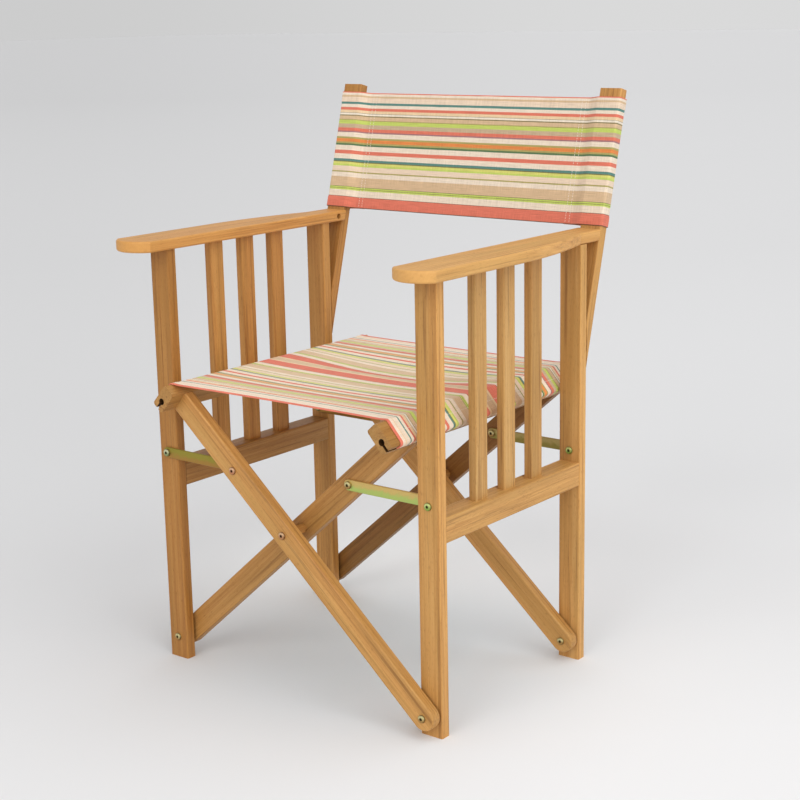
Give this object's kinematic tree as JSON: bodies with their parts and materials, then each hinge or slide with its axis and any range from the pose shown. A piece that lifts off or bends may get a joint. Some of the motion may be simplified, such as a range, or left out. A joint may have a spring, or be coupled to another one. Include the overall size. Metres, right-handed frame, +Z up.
{
  "type": "folding armchair",
  "caption": "Folding director's armchair: slatted hardwood side frames, crossing legs on bolted pivots, steel straps and a slung striped cloth seat and back; it folds flat sideways.",
  "frame": {"origin": "on the floor, under the middle of the open chair's bounding box", "axes": "+X to the sitter's left, which a viewer in front sees on the right; +Y to the rear; +Z up"},
  "size_m": [0.596, 0.5365, 0.87],
  "materials": {
    "wood": "oiled golden-brown hardwood, satin",
    "cloth": "woven cotton canvas with multicoloured stripes, matte",
    "strap": "yellow zinc plate with an iridescent tint",
    "fastener": "yellow zinc plate",
    "rod": "plain extruded rod"
  },
  "bodies": {
    "left_frame": {"front_leg_left": "wood", "rear_leg_left": "wood", "armrest_left": "wood", "side_rail_left": "wood", "back_post_left": "wood", "barrel_nut_left": "fastener", "arm_bolt_left": "fastener", "slat_1_left": "wood", "slat_2_left": "wood", "slat_3_left": "wood", "foot_bolts_left": "fastener", "foot_washers_left": "fastener", "foot_nuts_left": "fastener", "strap_bolts_left": "fastener", "strap_nuts_left": "fastener", "back_sling": "cloth"},
    "cross_b": {"cross_b_front": "wood", "cross_b_rear": "wood", "seat_rail_right": "wood", "seat_rod_right": "rod", "cross_bolts": "fastener", "cross_spacers": "wood", "cross_nuts": "fastener", "member_nuts_right": "fastener", "seat_sling": "cloth"},
    "cross_a": {"cross_a_front": "wood", "cross_a_rear": "wood", "seat_rail_left": "wood", "seat_rod_left": "rod", "member_screws_left": "fastener"},
    "right_frame": {"front_leg_right": "wood", "rear_leg_right": "wood", "armrest_right": "wood", "side_rail_right": "wood", "back_post_right": "wood", "barrel_nut_right": "fastener", "arm_bolt_right": "fastener", "slat_1_right": "wood", "slat_2_right": "wood", "slat_3_right": "wood", "foot_bolts_right": "fastener", "foot_washers_right": "fastener", "foot_nuts_right": "fastener", "strap_bolts_right": "fastener", "strap_nuts_right": "fastener"},
    "left_straps": {"strap_front_left": "strap", "strap_rear_left": "strap", "member_nuts_left": "fastener"},
    "right_straps": {"strap_front_right": "strap", "strap_rear_right": "strap", "member_screws_right": "fastener"}
  },
  "joints": [
    {"name": "fold", "type": "hinge", "parent": "left_frame", "child": "cross_b", "pos_m": [-0.25, -0.02, 0.034], "axis": [0, -1, 0], "range_deg": [0, 31.24], "deforming": ["seat_sling", "back_sling"]},
    {"name": "cross_pivot", "type": "hinge", "parent": "cross_b", "child": "cross_a", "pos_m": [0, -0.02, 0.25286], "axis": [0, -1, 0], "range_deg": [-67.6, 0]},
    {"name": "right_foot", "type": "hinge", "parent": "cross_a", "child": "right_frame", "pos_m": [0.25, -0.02, 0.034], "axis": [0, -1, 0], "range_deg": [0, 31.24]},
    {"name": "left_strap_pivot", "type": "hinge", "parent": "left_frame", "child": "left_straps", "pos_m": [-0.25, -0.02, 0.33519], "axis": [0, -1, 0], "range_deg": [0, 61.97]},
    {"name": "right_strap_pivot", "type": "hinge", "parent": "right_frame", "child": "right_straps", "pos_m": [0.25, -0.02, 0.33519], "axis": [0, -1, 0], "range_deg": [-61.97, 0]}
  ],
  "couplings": [
    {"joint": "cross_pivot", "follows": "fold", "ratio": -2.1636},
    {"joint": "right_foot", "follows": "fold", "ratio": 1},
    {"joint": "left_strap_pivot", "follows": "fold", "ratio": 1.9834},
    {"joint": "right_strap_pivot", "follows": "fold", "ratio": -1.9834}
  ]
}
